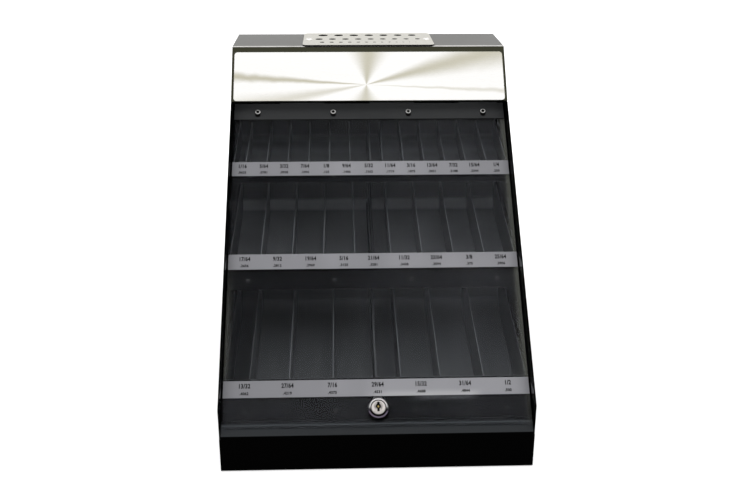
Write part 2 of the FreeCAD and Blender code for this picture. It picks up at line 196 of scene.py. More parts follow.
def looseCentres(name, join=1e-6):
    # the middle of each separate solid of a CAD node
    shape = bmesh.new()
    shape.from_mesh(nodes[name].data)
    bmesh.ops.remove_doubles(shape, verts=shape.verts, dist=join)
    left = set(shape.verts)
    centres = []
    while left:
        reached = {left.pop()}
        front = list(reached)
        while front:
            vertex = front.pop()
            for edge in vertex.link_edges:
                other = edge.other_vert(vertex)
                if other in left:
                    left.discard(other)
                    reached.add(other)
                    front.append(other)
        low = Vector([min(vertex.co[axis] for vertex in reached) for axis in range(3)])
        high = Vector([max(vertex.co[axis] for vertex in reached) for axis in range(3)])
        centres.append((low + high) / 2)
    shape.free()
    return sorted(centres, key=lambda centre: centre.x)


def aroundLock(f, right=0.0, up=0.0):
    # the distance along the door from the lock's axis, or from a place beside it,
    # and the height above that place
    x, y, z = f.parts(f.place())
    across = x - (lockCentre.x + right)
    rise = y * upDoor.y + z * upDoor.z - (lockCentre.dot(upDoor) + up)
    return distance(across, rise), rise


# powder coat of the case: glossy black, with a film of dust where it faces up
# dustFrom: the upward part of the normal at which dust begins to lie
# outside and under: the greys of the sides' outer faces, lighter than the black as a painted
# sheen, and of faces that look down
# bend highlight and rivet shadow: the greys of the painted highlight along the top's front bend
# and of the painted shadow just below the rivets
# lit: the greys of the dust at the foot and at the top of the hinge's strip, painted lighter
# towards the top against the shade under the header
caseCoats = {
    "caseCoat": {"black": 0.0008, "dust": 0.034, "dustFrom": 0.35, "gloss": 0.15,
                 "warmth": -0.07, "shine": 0.003},
    "sideCoat": {"black": 0.001, "dust": 0.02, "dustFrom": 0.85, "gloss": 0.15,
                 "warmth": -0.04, "shine": 0.003, "outside": 0.013},
    "railCoat": {"black": 0.0012, "dust": 0.03, "dustFrom": 0.35, "gloss": 0.15,
                 "warmth": -0.07, "shine": 0.003, "under": 0.03},
    # the back panel's black is lighter than the case's: a painted sheen
    "backCoat": {"black": 0.013, "dust": 0.03, "dustFrom": 0.35, "gloss": 0.2,
                 "warmth": -0.04, "shine": 0.15},
    # the hood's top carries a light, mottled dust, which also paints a patchy sheen
    "glossCoat": {"black": 0.002, "dust": 0.13, "dustFrom": 0.7, "gloss": 0.17,
                  "warmth": 0.02, "shine": 0.28, "tint": (1, 1, 0.62, 1), "bend": 0.75,
                  "mottle": {"noise": (90.0, 3.0, 0.7), "from": 0.35}},
    "leafCoat": {"black": 0.004, "dustFrom": 0.3, "gloss": 0.3, "warmth": -0.03,
                 "shine": 0.02, "rivetShadow": 0.0008, "lit": (0.045, 0.15)},
}

# what those coats share
coatDetail = {
    "cloud": (9.0, 4.0, 0.6), "streak": ((16.0, 50.0, 50.0), 4.0, 0.6, (0, 0, 0.12)),
    "film": {"even": 0.55, "cloudy": 0.45, "streaky": 0.45},
    "settling": 0.3, "dustyGloss": 0.22, "cloudyGloss": 0.08,
    "litRise": 1.6, "under": (0.2, 0.5),
    "sides": {"scale": 6.0, "facing": (0.6, 0.9), "outerCoat": 0.3, "mirror": 0.8, "soft": 0.002,
              "gloss": 0.12},
    "bend": {"facing": (0.8, 0.9), "width": (0.001, 0.004), "least": 0.3, "warmth": 0.02},
    "rivetShadowSpot": {"rise": -0.0007, "radius": 0.0037, "soft": 0.0005},
    "grain": {"scale": 700.0, "depth": 0.000012, "rounding": 0.0005},
}


def sideFaces(f, sideways, look, black):
    # the sides' outer faces are a lighter grey than the black paint inside them, a painted
    # sheen, under a thin coat
    detail = coatDetail["sides"]
    x, _, z = f.parts(f.place())
    outer = sideways * x * detail["scale"]
    flank = outer.between(*detail["facing"])
    inside = (-outer).between(*detail["facing"])
    coat = flank * detail["outerCoat"]
    # inside, the label strips mirror in the paint beside their ends
    for strip in ("label_strip_lower", "label_strip_middle"):
        low, high = heights(strip)
        soft = detail["soft"]
        level = z.between(low, low + soft) * (1 - z.between(high - soft, high))
        coat = coat + level * inside * detail["mirror"]
    return f.mix(flank, black, grey(look["outside"])), coat


def paintBendHighlight(f, facing, streak, look, colour):
    # a painted highlight along the top's front edge, at its bend
    detail = coatDetail["bend"]
    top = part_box("hood")[1].z - 0.1 * mm
    edge = min(corner.co.y for corner in nodes["hood"].data.vertices if corner.co.z > top)
    start, end = detail["width"]
    y = f.parts(f.place())[1]
    bend = facing.between(*detail["facing"]) * (1 - y.between(edge + start, edge + end))
    bend = (bend * (detail["least"] + streak)).clamp()
    return f.mix(bend, colour, grey(look["bend"], detail["warmth"]))


def paintRivetShadows(f, look, colour):
    # a painted shadow just below each rivet
    detail = coatDetail["rivetShadowSpot"]
    x, _, z = f.parts(f.place())
    for centre in looseCentres("hinge_rivets"):
        down = (z - (centre.z + detail["rise"])) / upDoor.z
        away = distance(x - centre.x, down)
        spot = 1 - away.between(detail["radius"] - detail["soft"], detail["radius"])
        colour = f.mix(spot, colour, grey(look["rivetShadow"]))
    return colour


def paintLeafLight(f, look):
    # the strip's dust is painted lighter towards its top, under the header: painted light
    # against the header's shade
    low, high = heights("hinge_leaf_door")
    rise = ((f.parts(f.place())[2] - low) * (1 / (high - low))).clamp()
    least, most = (grey(level, look["warmth"]) for level in look["lit"])
    return f.mix(rise ** coatDetail["litRise"], least, most)


def makeCaseCoat(name):
    look, detail = caseCoats[name], coatDetail
    f = Finish(name)
    sideways, _, facing = f.parts(f.place("Normal"))
    cloud, streak = f.noise(*detail["cloud"]), f.streaks(*detail["streak"])
    parts = detail["film"]
    film = parts["even"] + cloud * parts["cloudy"] + streak * parts["streaky"]
    if "mottle" in look:
        mottle = look["mottle"]
        film = film * (1 - (f.noise(*mottle["noise"]) - mottle["from"]).clamp())
    start = look["dustFrom"]
    dust = facing.between(start, start + detail["settling"]) * film
    black, coat = grey(look["black"]), 0.0
    if "outside" in look:
        black, coat = sideFaces(f, sideways, look, black)
    if "under" in look:
        black = f.mix((-facing).between(*detail["under"]), black, grey(look["under"]))
    dustOrPaintedLight = paintLeafLight(f, look) if "lit" in look else grey(look["dust"], look["warmth"])
    colour = f.mix(dust.clamp(), black, dustOrPaintedLight)
    if "bend" in look:
        colour = paintBendHighlight(f, facing, streak, look, colour)
    if "rivetShadow" in look:
        colour = paintRivetShadows(f, look, colour)
    grain = detail["grain"]
    relief = f.bump(f.noise(grain["scale"]), grain["depth"], grain["rounding"])
    rough = look["gloss"] + dust * detail["dustyGloss"] + cloud * detail["cloudyGloss"]
    return f.done(f.surface({
        "Base Color": colour, "Roughness": rough, "Normal": relief,
        "Specular IOR Level": look["shine"], "Specular Tint": look.get("tint", (1, 1, 1, 1)),
        "Coat Weight": coat, "Coat Roughness": detail["sides"]["gloss"]}))


# paint inside the trays: floors painted lighter than the upright walls, as painted light from
# above, with the walls in painted shade; streaked by wear where the drills lie; a painted
# highlight on the curve up to the rear wall and along the dividers' top edges
# middleTray and upperTray: the heights above which the middle and the upper tier begin
# faces: spans of the normal, of its upward part or, for wall and side, its sideways part
trayCoat = {
    "upright": 0.006, "divider": (0.05, 0.08), "floor": 0.075, "rubbed": 0.1, "curve": 0.38,
    "edge": 0.12, "joint": 0.06, "gap": 0.002, "endWall": 0.02, "warmth": -0.02,
    "gloss": 0.42, "cloudyGloss": 0.15, "shine": 0.3,
    "cloud": (14.0, 4.0, 0.6), "streak": ((260.0, 9.0, 9.0), 4.0, 0.6),
    "grain": {"noise": (900.0, 2.0), "streaky": 0.5, "depth": 0.00002},
    "middleTray": 0.15, "upperTray": 0.25,
    "shadedGap": {"right": -0.1455, "top": 0.145, "floor": 0.25},
    "rub": {"streak": (0.45, 0.75), "least": 0.3},
    "rear": {"from": 0.04, "to": 0.112, "share": 0.3},
    "band": {"rise": (0.1, 0.125), "fall": (0.143, 0.149), "share": 0.42},
    "curveCloud": 0.5,
    "halves": {"across": (0.003, 0.004), "rightWall": 0.1},
    "dividerEdgeHighlight": {"noise": ((40.0, 60.0, 60.0), 3.0, 0.6), "worn": (0.3, 0.6), "even": 0.5,
             "lower": (-0.05, 0.02), "middle": (0.06, 0.12), "fade": 0.9},
    "faces": {"floor": (0.05, 0.5), "rub": (0.3, 0.9), "curve": (0.02, 0.3), "flat": (0.6, 0.9),
              "joint": (0.2, 0.5), "wall": (0.5, 0.9), "side": (0.3, 0.7)},
}


def makeTrayCoat(name, forDividers):
    look, faces = trayCoat, trayCoat["faces"]
    f = Finish(name)
    sideways, _, facing = f.parts(f.place("Normal"))
    x, y, z = f.parts(f.place())
    cloud, streak = f.noise(*look["cloud"]), f.streaks(*look["streak"])

    def paint(part):
        return grey(look[part], look["warmth"])

    # the narrow gap at the left end of the lower tray lies in painted shadow: its floor stays
    # dark, with no wear or edge highlight
    shadedGap = look["shadedGap"]
    outsideShadedGap = ((x > shadedGap["right"]) + (z > shadedGap["top"])).clamp()
    upper = z > look["upperTray"]
    middle = (z > look["middleTray"]) * (1 - upper)
    upright = grey(look["upright"])
    # dividers: faces that look towards +x are painted lighter than those that look towards -x,
    # as painted light and shade
    if forDividers:
        rightHand, leftHand = (grey(level) for level in look["divider"])
        upright = f.mix(sideways > 0.5, rightHand, leftHand)
    # floors painted lighter than the upright walls: painted light from above
    floor = facing.between(*faces["floor"])
    floor = floor * (shadedGap["floor"] + outsideShadedGap * (1 - shadedGap["floor"]))
    colour = f.mix(floor, upright, paint("floor"))
    rub = look["rub"]
    rubbed = streak.between(*rub["streak"]) * facing.between(*faces["rub"])
    rubbed = (rubbed * (rub["least"] + cloud) * outsideShadedGap).clamp()
    colour = f.mix(rubbed, colour, paint("rubbed"))
    # a painted highlight on the curve up to the rear wall and on the rear of the middle tray's
    # floor
    flat = facing.between(*faces["flat"])
    rear, band = look["rear"], look["band"]
    rearFloor = flat * y.between(rear["from"], rear["to"]) * middle * rear["share"]
    curve = (facing.between(*faces["curve"]) * (1 - flat) * middle).most(rearFloor)
    # on the upper tray the painted highlight lies on the floor just in front of the curve
    # instead
    front = y.between(*band["rise"]) * (1 - y.between(*band["fall"]))
    curve = curve + front * upper * facing * band["share"]
    even = look["curveCloud"]
    colour = f.mix((curve * (even + cloud * (1 - even))).clamp(), colour, paint("curve"))
    upDown = 1 - abs(sideways).between(*faces["side"])
    # a painted highlight along the dividers' top edges, uneven along them and fading, as painted
    # shade, towards the back of the lower and middle trays
    if forDividers:
        dividerEdgeHighlight = look["dividerEdgeHighlight"]
        lower = 1 - upper - middle
        fade = y.between(*dividerEdgeHighlight["lower"]) * lower + y.between(*dividerEdgeHighlight["middle"]) * middle
        worn = f.streaks(*dividerEdgeHighlight["noise"]).between(*dividerEdgeHighlight["worn"])
        edge = upDown * outsideShadedGap * (1 - fade * dividerEdgeHighlight["fade"])
        edge = edge * (dividerEdgeHighlight["even"] + worn * (1 - dividerEdgeHighlight["even"]))
        colour = f.mix(edge, colour, paint("edge"))
    else:
        halves = look["halves"]
        # the right end wall's inner face is painted lighter, as painted light
        wall = (-sideways).between(*faces["wall"]) * (x > halves["rightWall"])
        colour = f.mix(wall, colour, paint("endWall"))
        # the two halves of each tray meet in the middle: edge to edge above and below, with
        # a dark gap between the middle ones
        joint = (1 - abs(x).between(*halves["across"])) * upDown
        joint = joint * facing.between(*faces["joint"])
        colour = f.mix(joint, colour, f.mix(middle, grey(look["joint"]), grey(look["gap"])))
    grain = look["grain"]
    relief = f.bump(f.noise(*grain["noise"]) + streak * grain["streaky"], grain["depth"])
    rough = look["gloss"] + cloud * look["cloudyGloss"]
    return f.done(f.surface({"Base Color": colour, "Roughness": rough, "Normal": relief,
                             "Specular IOR Level": look["shine"]}))


# header plate: spun steel, with dark sectors of painted reflection that run out from one point
# below its middle
# sectors: the direction in degrees from the right, the half width and the depth of each
headerSteel = {
    "pale": (0.545, 0.54, 0.53, 1), "beige": (0.3, 0.285, 0.225, 1), "gloss": 0.27,
    "centre": {"across": -0.004, "share": 0.33}, "flatten": 1.3,
    "waver": {"noise": (60.0, 3.0), "degrees": 2.0},
    "lines": {"noise": ((18.0, 2200.0, 2200.0), 3.0, 0.6), "share": 0.1, "gloss": 0.1,
              "depth": 0.000004, "rounding": 0.0003, "anisotropy": 0.4},
    "sectors": [(-169, 8, 0.6), (-94, 50, 0.8), (-3, 1.8, 0.5), (16, 11, 0.9), (86, 38, 0.9),
                (176, 3.6, 0.95)],
}


def makeHeaderSteel():
    look = headerSteel
    f = Finish("headerSpunSteel")
    low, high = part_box("header_plate")
    middle, foot = (low.x + high.x) / 2, low.z + (high.z - low.z) * look["centre"]["share"]
    x, _, z = f.parts(f.place())
    across = x - (middle + look["centre"]["across"])
    upward = (z - foot) * look["flatten"]
    angle = upward.calc("ARCTAN2", across) * (180 / math.pi)
    angle = angle + (f.noise(*look["waver"]["noise"]) - 0.5) * look["waver"]["degrees"]
    # the painted reflection of the spun finish, in sectors round that point
    shade = 0.0
    for direction, half, depth in look["sectors"]:
        shade = (1 - abs(angle - direction).between(0.0, half)) * depth + shade
    lines = look["lines"]
    brushed = f.streaks(*lines["noise"])
    shade = (shade + (brushed - 0.5) * lines["share"]).clamp()
    return f.done(f.surface({
        "Base Color": f.mix(shade, look["pale"], look["beige"]), "Metallic": 1.0,
        "Roughness": look["gloss"] + (brushed - 0.5) * lines["gloss"],
        "Normal": f.bump(brushed, lines["depth"], lines["rounding"]),
        "Anisotropic": lines["anisotropy"]}))


# plain metals; marks: how much rougher the scratches are
# painted shade: where it lies, by the upward part of the normal; it darkens the gauge's hole
# walls and the rivets' lower slopes
plainSteels = {
    "gaugeSteel": {"colour": (0.78, 0.76, 0.69, 1), "gloss": 0.34, "marks": 0.06,
                   "paintedShade": (0.4, 0.8)},
    "zincPlate": {"colour": (0.62, 0.62, 0.6, 1), "gloss": 0.3, "marks": 0.1},
    "rivetAluminium": {"colour": (0.95, 0.95, 0.93, 1), "gloss": 0.3, "marks": 0.05,
                       "metal": 0.1, "paintedShade": (0.15, 0.4)},
    # its black is also the painted shade in the rivets' hollows and in the lock's recesses
    "oxide": {"colour": (0.012, 0.011, 0.01, 1), "gloss": 0.5, "marks": 0.1},
    "satinNickel": {"colour": (0.46, 0.43, 0.415, 1), "gloss": 0.42, "marks": 0.08},
    "screwSteel": {"colour": (0.97, 0.96, 0.94, 1), "gloss": 0.35, "marks": 0.08,
                   "metal": 0.2},
    "wornBrass": {"colour": (0.3, 0.22, 0.08, 1), "gloss": 0.35, "marks": 0.1},
}

# what those metals share
steelDetail = {
    "cloud": {"noise": (160.0, 4.0, 0.6), "from": 0.4, "share": 0.5, "dull": 0.7,
              "gloss": 0.06},
    "scratch": {"noise": ((2600.0, 90.0, 900.0), 2.0, 0.5, (0, 0, 0.5)), "seen": (0.62, 0.72),
                "depth": 0.000003, "rounding": 0.0002},
    "paintedShade": 0.008,
}


def makeSteel(name):
    look, clouds, scratches = plainSteels[name], steelDetail["cloud"], steelDetail["scratch"]
    f = Finish(name)
    cloud, scratch = f.noise(*clouds["noise"]), f.streaks(*scratches["noise"])
    mark = scratch.between(*scratches["seen"]) * look["marks"]
    dull = tuple(clouds["dull"] * part for part in look["colour"][:3]) + (1.0,)
    shade = ((cloud - clouds["from"]) * clouds["share"]).clamp()
    colour = f.mix(shade, look["colour"], dull)
    # painted shade on the faces that hardly look up
    if "paintedShade" in look:
        facing = f.parts(f.place("Normal"))[2]
        outOfShade = facing.between(*look["paintedShade"])
        colour = f.mix(outOfShade, grey(steelDetail["paintedShade"]), colour)
    return f.done(f.surface({
        "Base Color": colour, "Metallic": look.get("metal", 1.0),
        "Roughness": look["gloss"] + cloud * clouds["gloss"] + mark,
        "Normal": f.bump(scratch, scratches["depth"], scratches["rounding"])}))


# chrome of the lock: painted reflection, bright over the upper half of the ring, and painted
# shade, dark in its funnel and below, with a dusky rim
lockChrome = {"bright": (0.6, 0.59, 0.59, 1), "dark": (0.012, 0.01, 0.012, 1),
              "dusk": (0.12, 0.1, 0.135, 1), "turn": (-0.003, 0.0012), "gloss": 0.12,
              "rim": {"rise": (0.0103, 0.0107), "fall": (0.0115, 0.0118)}}


def makeLockChrome():
    look, clouds = lockChrome, steelDetail["cloud"]
    f = Finish("lockChrome")
    radius, rise = aroundLock(f)
    rim = radius.between(*look["rim"]["rise"]) * (1 - radius.between(*look["rim"]["fall"]))
    below = f.mix(rim, look["dark"], look["dusk"])
    colour = f.mix(rise.between(*look["turn"]), below, look["bright"])
    rough = look["gloss"] + f.noise(*clouds["noise"]) * clouds["gloss"]
    return f.done(f.surface({"Base Color": colour, "Metallic": 1.0, "Roughness": rough}))


# clear acrylic door: see-through, with a weak mirror over it, a little haze and a broad painted
# sheen right of the middle; its cut edges are brighter and its side margins carry a painted glow
# share: how much of the mirror, or of the glow, each of these adds
clearSheet = {
    "tint": (0.95, 0.96, 0.97, 1),
    "mirror": {"colour": (0.86, 0.89, 0.97, 1), "gloss": 0.06, "share": 0.003},
    "grazing": {"power": 5.0, "share": 0.3},
    "haze": {"noise": ((10.0, 5.0, 5.0), 4.0, 0.65, (0.76, 0, 0.3)), "seen": (0.45, 0.8),
             "share": 0.003},
    "broadSheen": {"middle": 0.13, "reach": 0.24, "share": 0.0029},
    "cut": {"facing": (0.6, 0.9), "share": 0.2},
    "glare": {"left": (0.03, 0.055), "right": (0.105, 0.12), "foot": (0.0725, 0.0775),
              "top": 0.081, "share": 0.02},
    "dustyFoot": {"across": (-0.04, 0.04), "up": (0.078, 0.08), "share": 0.0035},
    "lockShadow": {"place": (0.0002, -0.0024), "radius": (0.0126, 0.0138), "least": 0.1},
    "margin": {"colour": (0.37, 0.38, 0.33, 1), "gloss": 0.4, "shine": 0.1, "share": 0.18,
               "across": (0.166, 0.177), "rightRise": (0.07, 0.09), "rightLeast": 0.25,
               "leftRise": (0.08, 0.1), "leftFall": (0.12, 0.22), "left": 0.5},
}


def mirrorShare(f):
    look = clearSheet
    x, _, z = f.parts(f.place())
    haze, broadSheen, glare, foot = (look[key] for key in ("haze", "broadSheen", "glare", "dustyFoot"))
    facing = f.node("ShaderNodeLayerWeight", {}, {"Blend": 0.5}, "Facing")
    streak = f.streaks(*haze["noise"]).between(*haze["seen"])
    # a broad painted sheen right of the middle
    broad = 1 - abs(x - broadSheen["middle"]).between(0.0, broadSheen["reach"])
    # a patch of painted glare under the lowest strip
    patch = x.between(*glare["left"]) * (1 - x.between(*glare["right"]))
    patch = patch * z.between(*glare["foot"]) * (1 - (z > glare["top"]))
    # the foot of the sheet is dusty on the left
    dusty = (1 - x.between(*foot["across"])) * (1 - z.between(*foot["up"]))
    cut = abs(f.parts(f.place("Normal"))[0]).between(*look["cut"]["facing"])
    share = facing ** look["grazing"]["power"] * look["grazing"]["share"]
    share = look["mirror"]["share"] + share + broad * broadSheen["share"] + patch * glare["share"]
    share = share + dusty * foot["share"] + streak * haze["share"] + cut * look["cut"]["share"]
    # the lock's ring darkens the sheet just round it
    shadow = look["lockShadow"]
    radius = aroundLock(f, *shadow["place"])[0]
    unshaded = shadow["least"] + (1 - shadow["least"]) * radius.between(*shadow["radius"])
    return share.clamp() * unshaded


def marginShare(f):
    # the sheet's sides glow, the left one only near its foot
    look = clearSheet["margin"]
    x, _, z = f.parts(f.place())
    least = look["rightLeast"]
    right = (x > 0.0) * (least + z.between(*look["rightRise"]) * (1 - least))
    left = (1 - z.between(*look["leftFall"])) * z.between(*look["leftRise"]) * look["left"]
    return abs(x).between(*look["across"]) * right.most(left) * look["share"]


def makeClearSheet():
    look, margin = clearSheet, clearSheet["margin"]
    f = Finish("clearAcrylic")
    clear = f.node("ShaderNodeBsdfTransparent", {}, {"Color": look["tint"]})
    gloss = f.surface({"Base Color": look["mirror"]["colour"], "Metallic": 1.0,
                       "Roughness": look["mirror"]["gloss"]})
    glow = f.surface({"Base Color": margin["colour"], "Roughness": margin["gloss"],
                      "Specular IOR Level": margin["shine"]})
    sheet = f.mixShader(mirrorShare(f), clear, gloss)
    return f.done(f.mixShader(marginShare(f), sheet, glow))


# lift: a painted highlight along the bottom edge of the lowest strip
labelFilm = {
    "silver": (0.19, 0.19, 0.205, 1), "bright": (0.25, 0.25, 0.268, 1), "gloss": 0.42,
    "cloud": {"noise": ((9.0, 3.0, 3.0), 2.0, 0.5), "seen": (0.35, 0.7)},
    "speck": {"noise": (1500.0, 2.0), "gloss": 0.1, "depth": 0.000005}, "shine": 0.3,
    "lift": {"colour": (0.34, 0.34, 0.355, 1), "down": (0.0845, 0.079), "left": (-0.02, 0.02),
             "right": (0.108, 0.125)},
}


def makeLabelFilm():
    look, lift, specks = labelFilm, labelFilm["lift"], labelFilm["speck"]
    f = Finish("labelFilm")
    x, _, z = f.parts(f.place())
    cloud = f.streaks(*look["cloud"]["noise"]).between(*look["cloud"]["seen"])
    speck = f.noise(*specks["noise"])
    # a painted highlight along the lowest strip's bottom edge
    stripHighlight = z.between(*lift["down"]) * x.between(*lift["left"])
    stripHighlight = stripHighlight * (1 - x.between(*lift["right"]))
    colour = f.mix(cloud, look["silver"], look["bright"])
    colour = f.mix(stripHighlight, colour, lift["colour"])
    return f.done(f.surface({
        "Base Color": colour, "Roughness": look["gloss"] + speck * specks["gloss"],
        "Normal": f.bump(speck, specks["depth"]), "Specular IOR Level": look["shine"]}))


labelInk = {"black": 0.002, "worn": 0.0036, "gloss": 0.5, "shine": 0.05,
            "fleck": {"noise": (2500.0, 2.0), "seen": (0.3, 0.8)}}


def makeInk():
    look = labelInk
    f = Finish("labelInk")
    fleck = f.noise(*look["fleck"]["noise"]).between(*look["fleck"]["seen"])
    colour = f.mix(fleck, grey(look["black"]), grey(look["worn"]))
    return f.done(f.surface({"Base Color": colour, "Roughness": look["gloss"],
                             "Specular IOR Level": look["shine"]}))


finishes = {name: makeSteel(name) for name in plainSteels}
finishes.update({name: makeCaseCoat(name) for name in caseCoats})
finishes["trayCoat"] = makeTrayCoat("trayPaint", False)
finishes["dividerCoat"] = makeTrayCoat("dividerPaint", True)
finishes["headerSteel"] = makeHeaderSteel()
finishes["lockChrome"] = makeLockChrome()
finishes["clearSheet"] = makeClearSheet()
finishes["labelFilm"] = makeLabelFilm()
finishes["ink"] = makeInk()
print("finishes made:", len(finishes))


# which finish each CAD node wears
nodeFinish = {
    "caseCoat": ["base_pan", "hinge_leaf_case"],
    "backCoat": ["back_panel"],
    "sideCoat": ["side_panel_left", "side_panel_right"],
    "glossCoat": ["hood"],
    "leafCoat": ["hinge_leaf_door"],
    "railCoat": [],
    "trayCoat": [],
    "dividerCoat": [],
    "oxide": ["lock_nut"],
    "headerSteel": ["header_plate"],
    "gaugeSteel": ["drill_gauge"],
    "zincPlate": ["hinge_pin", "lock_cam", "lock_screw"],
    "lockChrome": ["lock_body", "lock_plug"],
    "rivetAluminium": ["gauge_screws", "hinge_rivets"],
    "clearSheet": ["door_window"],
    "labelFilm": ["label_strip_upper", "label_strip_middle", "label_strip_lower"],
}
tiers = ("upper", "middle", "lower")
for tier in tiers:
    nodeFinish["railCoat"].append(f"{tier}_rail_front")
    for piece in ("tray_left", "tray_right", "rail_rear"):
        nodeFinish["trayCoat"].append(f"{tier}_{piece}")
    for side in ("left", "right"):
        nodeFinish["dividerCoat"].append(f"{tier}_dividers_{side}")


def dressNodes():
    for finish, names in nodeFinish.items():
        for name in names:
            slots = nodes[name].material_slots
            if not slots:
                nodes[name].data.materials.append(finishes[finish])
            for slot in slots:
                slot.material = finishes[finish]


dressNodes()
print("nodes dressed")


def linked(name, data):
    holder = bpy.data.objects.new(name, data)
    bpy.context.scene.collection.objects.link(holder)
    return holder


def addPiece(name, mesh, body, worn):
    piece = linked(name, mesh)
    for index, finish in enumerate(worn.split()):
        if index == len(mesh.materials):
            mesh.materials.append(None)
        mesh.materials[index] = finishes[finish]
    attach(piece, body)
    return piece


def doorMatrix(place):
    turn = Matrix((acrossDoor, upDoor, outward)).transposed().to_4x4()
    return Matrix.Translation(place) @ turn


# numbers on the label strips: each size in 64ths of an inch over its decimal
# shifts: how far each column stands off its place, in mm
# capital: the height of a capital letter in a font of size 1; proud: the ink over the strip
labels = {
    "upper": {"sizes": range(4, 17), "pitch": 0.02677, "centre": -0.0024,
              "shifts": (0.8, 1.0, -0.3, -0.8, -0.8, -1.8, -0.5, -0.3, -0.3, -0.5, 0, -0.3,
                         1.0)},
    "middle": {"sizes": range(17, 26), "pitch": 0.03876, "centre": 0.0006,
               "shifts": (-1.1, -0.3, 0.8, 2.4, -0.3, -2.1, -1.6, -0.3, -0.8)},
    "lower": {"sizes": range(26, 33), "pitch": 0.0502, "centre": 0.0004,
              "shifts": (-0.8, -1.8, -0.8, 0.8, 0, 0.8, -0.3)},
    "fraction": {"height": 0.0051, "weight": 0.038, "drop": 0.0036, "narrow": 0.77,
                 "gap": 1.09},
    "decimal": {"height": 0.0031, "weight": 0.045, "drop": -0.0052, "narrow": 0.94,
                "gap": 1.1},
    "parts": 64, "proud": 0.0002, "capital": 0.7, "curveSteps": 3,
}


def fractionText(size):
    shared = math.gcd(size, labels["parts"])
    return f"{size // shared}/{labels['parts'] // shared}"


def decimalText(size):
    text = f"{size / labels['parts']:.4f}"[1:]
    return text[:-1] if text.endswith("0") else text


def textMesh(words, look):
    # flat lettering centred on the origin, with capitals of the given height
    curve = bpy.data.curves.new("words", "FONT")
    curve.body = words
    curve.align_x = "CENTER"
    curve.align_y = "CENTER"
    curve.offset = look["weight"]
    curve.space_character = look["gap"]
    curve.resolution_u = labels["curveSteps"]
    holder = linked("words", curve)
    bpy.context.view_layer.update()
    mesh = bpy.data.meshes.new_from_object(holder)
    bpy.data.objects.remove(holder)
    bpy.data.curves.remove(curve)
    grown = look["height"] / labels["capital"]
    mesh.transform(Matrix.Diagonal((grown * look["narrow"], grown, grown, 1)))
    return mesh


def gather(name, items):
    # one mesh from several, each moved by its own matrix
    whole = bmesh.new()
    for mesh, matrix in items:
        mesh.transform(matrix)
        whole.from_mesh(mesh)
        bpy.data.meshes.remove(mesh)
    merged = bpy.data.meshes.new(name)
    whole.to_mesh(merged)
    whole.free()
    return merged


def printLabels(tier):
    row = labels[tier]
    low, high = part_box(f"label_strip_{tier}")
    centre = (low + high) / 2 + outward * labels["proud"]
    middle = (len(row["sizes"]) - 1) / 2
    items = []
    for index, size in enumerate(row["sizes"]):
        x = row["centre"] + (index - middle) * row["pitch"] + row["shifts"][index] * mm
        for kind, words in (("fraction", fractionText(size)), ("decimal", decimalText(size))):
            look = labels[kind]
            place = centre + upDoor * look["drop"]
            place.x = x
            items.append((textMesh(words, look), doorMatrix(place)))
    mesh = gather(f"label_numbers_{tier}", items)
    addPiece(f"label_numbers_{tier}", mesh, "door", "ink")


for tier in tiers:
    printLabels(tier)
print("labels printed")


def toMetres(points):
    return [(radius * mm, height * mm) for radius, height in points]


def lathe(profile, steps=48, flat=None, dark=(), onAxis=1e-7):
    # turned solid from (radius, height) points; bands listed as dark wear the second finish
    # flat: how far from the axis two flats are cut on the part below height 0
    shape = bmesh.new()
    rings = []
    for radius, height in profile:
        if radius < onAxis:
            rings.append([shape.verts.new((0, 0, height))])
            continue
        ring = []
        for step in range(steps):
            angle = 2 * math.pi * step / steps
            x, y = radius * math.cos(angle), radius * math.sin(angle)
            if flat and height <= 0:
                x = max(-flat, min(flat, x))
            ring.append(shape.verts.new((x, y, height)))
        rings.append(ring)
    for band, (lower, upper) in enumerate(zip(rings, rings[1:])):
        for step in range(steps):
            after = (step + 1) % steps
            corners = [lower[step % len(lower)], lower[after % len(lower)],
                       upper[after % len(upper)], upper[step % len(upper)]]
            corners = list(dict.fromkeys(corners))
            if len(corners) > 2:
                shape.faces.new(corners).material_index = int(band in dark)
    return shape


def finished(name, shape):
    mesh = bpy.data.meshes.new(name)
    shape.to_mesh(mesh)
    shape.free()
    return mesh


def smoothMesh(name, shape, sharp=0.6):
    # smooth all over but for edges that turn by more than sharp, in radians
    bmesh.ops.recalc_face_normals(shape, faces=shape.faces)
    for face in shape.faces:
        face.smooth = True
    for edge in shape.edges:
        edge.smooth = len(edge.link_faces) < 2 or edge.calc_face_angle(0.0) < sharp
    return finished(name, shape)


def carve(mesh, cutters):
    # the mesh less every cutter
    holder = linked("carved", mesh)
    for shaped in [mesh] + cutters:
        for finish in ("satinNickel", "oxide"):
            shaped.materials.append(finishes[finish])
    tools = [linked("cutter", cutter) for cutter in cutters]
    for tool in tools:
        step = holder.modifiers.new("cut", "BOOLEAN")
        step.object = tool
        step.solver = "EXACT"
    bpy.context.view_layer.update()
    ready = holder.evaluated_get(bpy.context.evaluated_depsgraph_get())
    carved = bpy.data.meshes.new_from_object(ready)
    for spare in [holder] + tools:
        bpy.data.objects.remove(spare)
    return carved


def block(low, high):
    # a box between two corners in mm, all in the second finish
    shape = bmesh.new()
    bmesh.ops.create_cube(shape, size=1.0)
    for vertex in shape.verts:
        vertex.co = Vector([b * mm if share > 0 else a * mm
                            for share, a, b in zip(vertex.co, low, high)])
    for face in shape.faces:
        face.material_index = 1
    return finished("block", shape)


